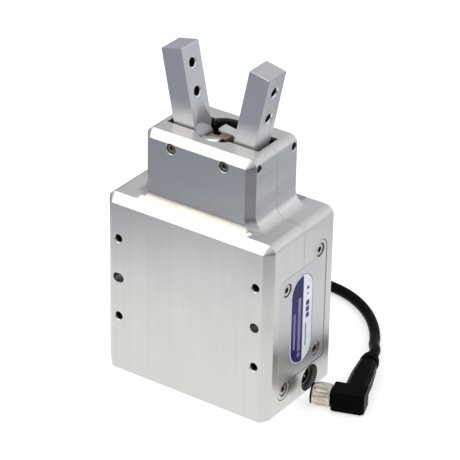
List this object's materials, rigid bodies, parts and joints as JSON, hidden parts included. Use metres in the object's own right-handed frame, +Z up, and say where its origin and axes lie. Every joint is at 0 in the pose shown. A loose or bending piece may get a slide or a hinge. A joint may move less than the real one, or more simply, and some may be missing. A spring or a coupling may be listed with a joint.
{
  "type": "two-finger angular gripper",
  "caption": "Compact angular gripper: split aluminium housing, two pivoting fingers driven by a screw and crosshead, side connector port and a short lead with a right-angle plug.",
  "frame": {"origin": "centre of the housing base, at the level it stands on", "axes": "+Z up, from the base to the fingers; the fingers open along X; -Y faces the front housing, +X faces the side cover and its port"},
  "size_m": [0.1075, 0.1065, 0.1426],
  "materials": {
    "housing_aluminium": "satin brushed",
    "finger_aluminium": "fine brushed",
    "cover_aluminium": "satin",
    "drive_aluminium": "turned",
    "ground_steel": "ground",
    "black_steel": "black oxide",
    "nickel_plate": "nickel plated",
    "bronze": "machined, oiled",
    "black_plastic": "moulded",
    "cable_jacket": "extruded jacket",
    "board_green": "solder mask",
    "label_print": "printed film"
  },
  "bodies": {
    "housing": {"bearing_retainer": "ground_steel", "board_driver": "black_plastic", "board_header": "black_plastic", "board_processor": "black_plastic", "board_standoff_1": "nickel_plate", "board_standoff_2": "nickel_plate", "cable": "cable_jacket", "cable_gland": "black_plastic", "control_board": "board_green", "cover_screw_1": "nickel_plate", "cover_screw_2": "nickel_plate", "cover_screw_3": "nickel_plate", "cover_screw_4": "nickel_plate", "dowel_pin_1": "ground_steel", "dowel_pin_2": "ground_steel", "front_housing": "housing_aluminium", "joint_screw_1": "ground_steel", "joint_screw_2": "ground_steel", "joint_screw_3": "ground_steel", "joint_screw_4": "ground_steel", "label_plate": "label_print", "motor_body": "black_steel", "motor_end_cap": "drive_aluminium", "pin_lock_front_left": "black_steel", "pin_lock_front_right": "black_steel", "pin_lock_rear_left": "black_steel", "pin_lock_rear_right": "black_steel", "pivot_pin_left": "ground_steel", "pivot_pin_right": "ground_steel", "pivot_plug_front_left": "black_steel", "pivot_plug_front_right": "black_steel", "pivot_plug_rear_left": "black_steel", "pivot_plug_rear_right": "black_steel", "plug_body": "black_plastic", "plug_boot": "black_plastic", "plug_insert": "black_plastic", "plug_nut": "nickel_plate", "port_insert": "black_plastic", "port_ring_nut": "nickel_plate", "port_shell": "nickel_plate", "rear_housing": "housing_aluminium", "screw_bearing_lower": "ground_steel", "screw_bearing_upper": "ground_steel", "side_cover": "cover_aluminium"},
    "left_finger": {"left_finger": "finger_aluminium"},
    "right_finger": {"right_finger": "finger_aluminium"},
    "crosshead": {"crosshead": "bronze", "drive_pin": "ground_steel"},
    "screw_rotor": {"lead_screw": "ground_steel", "shaft_coupling": "drive_aluminium", "motor_shaft": "ground_steel"}
  },
  "joints": [
    {"name": "crosshead_slide", "type": "slide", "parent": "housing", "child": "crosshead", "axis": [0, 0, -1], "range_m": [0, 0.00396]},
    {"name": "screw_spin", "type": "hinge", "parent": "housing", "child": "screw_rotor", "pos_m": [0, 0, 0.06], "axis": [0, 0, 1], "range_deg": [0, 712.85]},
    {"name": "left_finger_pivot", "type": "hinge", "parent": "housing", "child": "left_finger", "pos_m": [-0.0125, 0, 0.1048], "axis": [0, 1, 0], "range_deg": [0, 18]},
    {"name": "right_finger_pivot", "type": "hinge", "parent": "housing", "child": "right_finger", "pos_m": [0.0125, 0, 0.1048], "axis": [0, -1, 0], "range_deg": [0, 18]}
  ],
  "couplings": [
    {"joint": "screw_spin", "follows": "crosshead_slide", "rad_per_m": 3141.6},
    {"joint": "left_finger_pivot", "follows": "crosshead_slide", "rad_per_m": 79.333},
    {"joint": "right_finger_pivot", "follows": "crosshead_slide", "rad_per_m": 79.333}
  ]
}
